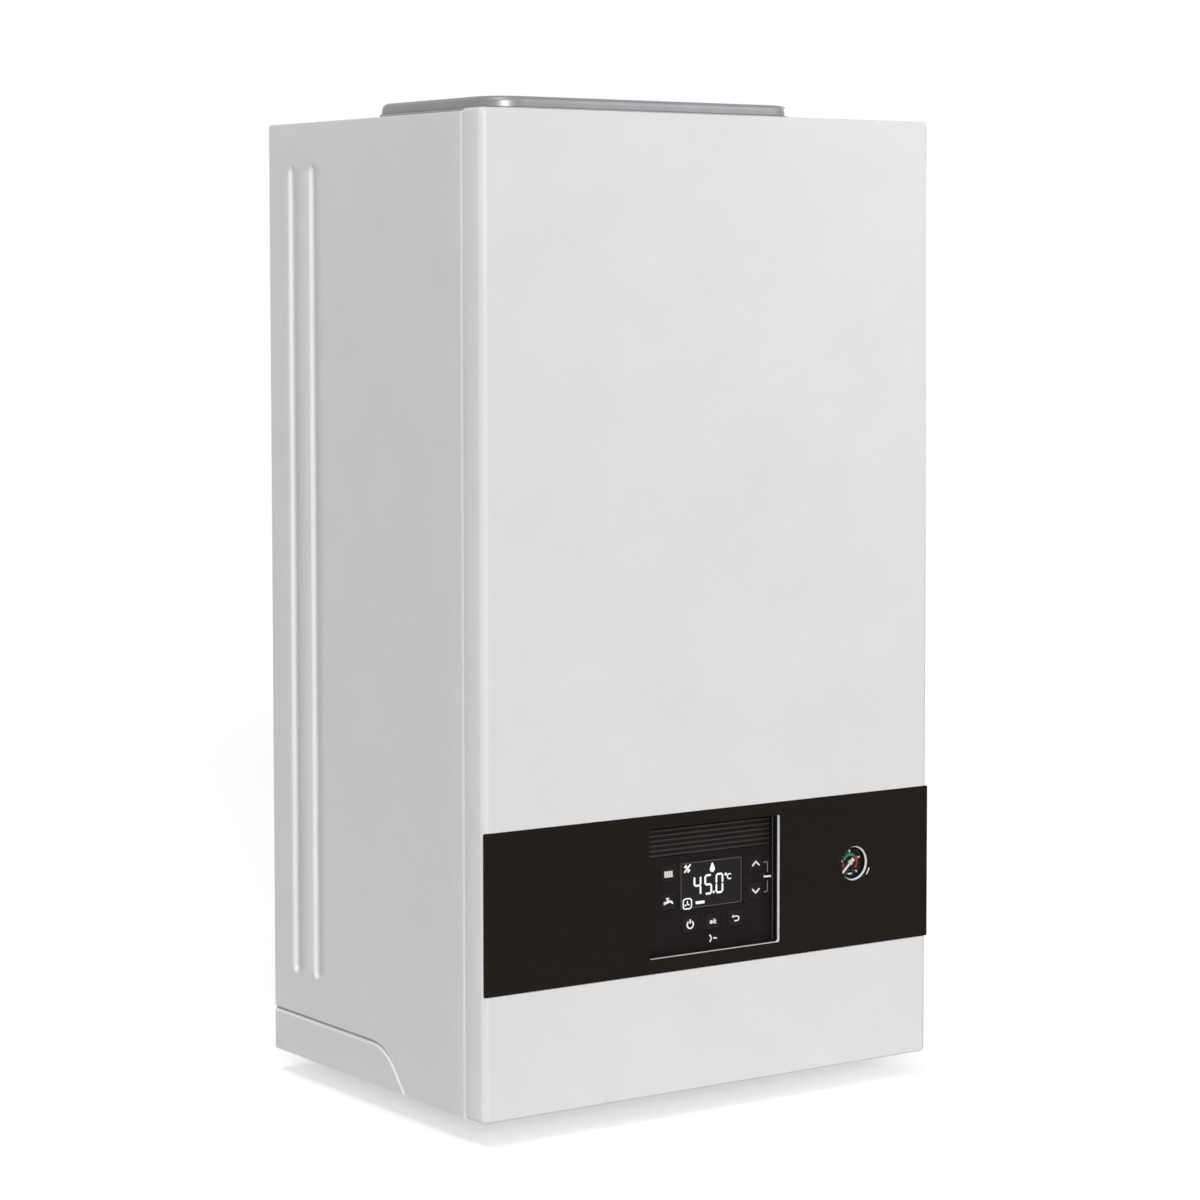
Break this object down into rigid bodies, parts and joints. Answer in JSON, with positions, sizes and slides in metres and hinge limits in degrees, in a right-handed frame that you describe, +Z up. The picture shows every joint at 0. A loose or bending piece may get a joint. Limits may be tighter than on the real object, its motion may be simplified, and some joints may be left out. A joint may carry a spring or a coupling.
{
  "type": "wall-hung condensing boiler",
  "caption": "White wall-hung condensing boiler with a black control band, display, keys and pressure gauge.",
  "frame": {"origin": "middle of the rear frame's back face, at the height of the hanger slots", "axes": "+Y into the wall that it hangs on, +Z up, front cover towards -Y"},
  "size_m": [0.4, 0.3005, 0.7395],
  "materials": {
    "white_enamel": "satin",
    "silver_tray": "satin",
    "seal_grey": "matte",
    "galvanised": "satin",
    "flue_white": "satin",
    "band_black": "gloss",
    "control_black": "satin",
    "control_grey": "satin",
    "board_green": "satin",
    "key_black": "satin",
    "lens_glass": "gloss",
    "gauge_black": "satin",
    "pointer_white": "satin",
    "vessel_red": "satin",
    "cast_aluminium": "satin",
    "stainless": "satin",
    "ceramic": "satin",
    "brass": "satin",
    "copper": "satin",
    "black_plastic": "satin",
    "motor_grey": "satin",
    "impeller_grey": "satin",
    "gas_yellow": "satin",
    "trap_white": "satin",
    "knob_red": "satin",
    "knob_blue": "satin"
  },
  "bodies": {
    "casing": {"left_side_panel": "white_enamel", "right_side_panel": "white_enamel", "left_lower_cover": "white_enamel", "right_lower_cover": "white_enamel", "roof_panel": "white_enamel", "top_tray": "silver_tray", "tray_gasket": "seal_grey", "rear_frame": "galvanised", "base_tray": "galvanised", "flue_adapter": "flue_white", "flue_pipe": "flue_white", "expansion_vessel": "vessel_red", "heat_cell": "cast_aluminium", "burner_door": "cast_aluminium", "fan_housing": "cast_aluminium", "mixture_duct": "cast_aluminium", "gas_valve": "cast_aluminium", "heat_coil": "stainless", "burner": "stainless", "plate_exchanger": "stainless", "ignition_electrode": "ceramic", "air_vent": "brass", "flow_block": "brass", "flow_pipe": "copper", "return_pipe": "copper", "fan_motor": "black_plastic", "diverter_motor": "black_plastic", "gas_mixer": "black_plastic", "return_block": "black_plastic", "cable_gland": "black_plastic", "pump_housing": "black_plastic", "pump_motor": "motor_grey", "gas_pipe": "gas_yellow", "condensate_trap": "trap_white"},
    "cover": {"front_cover": "white_enamel", "control_band": "band_black"},
    "control_box": {"control_housing": "control_black", "control_lid": "control_grey", "control_board": "board_green", "display_module": "control_black", "display_lens": "lens_glass", "slot_cover": "control_black", "gauge_can": "gauge_black", "gauge_dial": "gauge_black", "gauge_glass": "lens_glass"},
    "heating_key_body": {"heating_key": "key_black"},
    "hot_water_key_body": {"hot_water_key": "key_black"},
    "up_key_body": {"up_key": "key_black"},
    "down_key_body": {"down_key": "key_black"},
    "power_key_body": {"power_key": "key_black"},
    "ok_key_body": {"ok_key": "key_black"},
    "back_key_body": {"back_key": "key_black"},
    "gauge_pointer_body": {"gauge_pointer": "pointer_white"},
    "fan_impeller_body": {"fan_impeller": "impeller_grey"},
    "pump_impeller_body": {"pump_impeller": "impeller_grey"},
    "diverter_stem_body": {"diverter_stem": "stainless"},
    "safety_valve_knob_body": {"safety_valve_knob": "knob_red"},
    "filling_tap_knob_body": {"filling_tap_knob": "knob_blue"}
  },
  "joints": [
    {"name": "front_cover_slide", "type": "slide", "parent": "casing", "child": "cover", "axis": [0, -1, 0], "range_m": [0, 0.45]},
    {"name": "control_box_tilt", "type": "hinge", "parent": "casing", "child": "control_box", "pos_m": [0, -0.262, -0.555], "axis": [1, 0, 0], "range_deg": [0, 90]},
    {"name": "gauge_pointer_turn", "type": "hinge", "parent": "control_box", "child": "gauge_pointer_body", "pos_m": [0.1289, -0.2968, -0.4877], "axis": [0, 1, 0], "range_deg": [0, 270], "stiffness_Nm_per_rad": 0.001},
    {"name": "fan_impeller_spin", "type": "hinge", "parent": "casing", "child": "fan_impeller_body", "pos_m": [0.122, -0.2562, -0.12], "axis": [0, 1, 0], "continuous": true},
    {"name": "pump_impeller_spin", "type": "hinge", "parent": "casing", "child": "pump_impeller_body", "pos_m": [0.122, -0.143, -0.49], "axis": [0, 1, 0], "continuous": true},
    {"name": "diverter_stem_stroke", "type": "slide", "parent": "casing", "child": "diverter_stem_body", "axis": [0, 0, -1], "range_m": [0, 0.008]},
    {"name": "safety_valve_turn", "type": "hinge", "parent": "casing", "child": "safety_valve_knob_body", "pos_m": [-0.135, -0.16, -0.573], "axis": [0, 1, 0], "range_deg": [0, 90]},
    {"name": "filling_tap_turn", "type": "hinge", "parent": "casing", "child": "filling_tap_knob_body", "pos_m": [0.095, -0.16, -0.576], "axis": [0, 1, 0], "range_deg": [0, 90]},
    {"name": "heating_key_press", "type": "slide", "parent": "control_box", "child": "heating_key_body", "axis": [0, 1, 0], "range_m": [0, 0.001], "stiffness_N_per_m": 400},
    {"name": "hot_water_key_press", "type": "slide", "parent": "control_box", "child": "hot_water_key_body", "axis": [0, 1, 0], "range_m": [0, 0.001], "stiffness_N_per_m": 400},
    {"name": "up_key_press", "type": "slide", "parent": "control_box", "child": "up_key_body", "axis": [0, 1, 0], "range_m": [0, 0.001], "stiffness_N_per_m": 400},
    {"name": "down_key_press", "type": "slide", "parent": "control_box", "child": "down_key_body", "axis": [0, 1, 0], "range_m": [0, 0.001], "stiffness_N_per_m": 400},
    {"name": "power_key_press", "type": "slide", "parent": "control_box", "child": "power_key_body", "axis": [0, 1, 0], "range_m": [0, 0.001], "stiffness_N_per_m": 400},
    {"name": "ok_key_press", "type": "slide", "parent": "control_box", "child": "ok_key_body", "axis": [0, 1, 0], "range_m": [0, 0.001], "stiffness_N_per_m": 400},
    {"name": "back_key_press", "type": "slide", "parent": "control_box", "child": "back_key_body", "axis": [0, 1, 0], "range_m": [0, 0.001], "stiffness_N_per_m": 400}
  ],
  "couplings": [
    {"joint": "control_box_tilt", "follows": "front_cover_slide", "rad_per_m": 3.49}
  ]
}
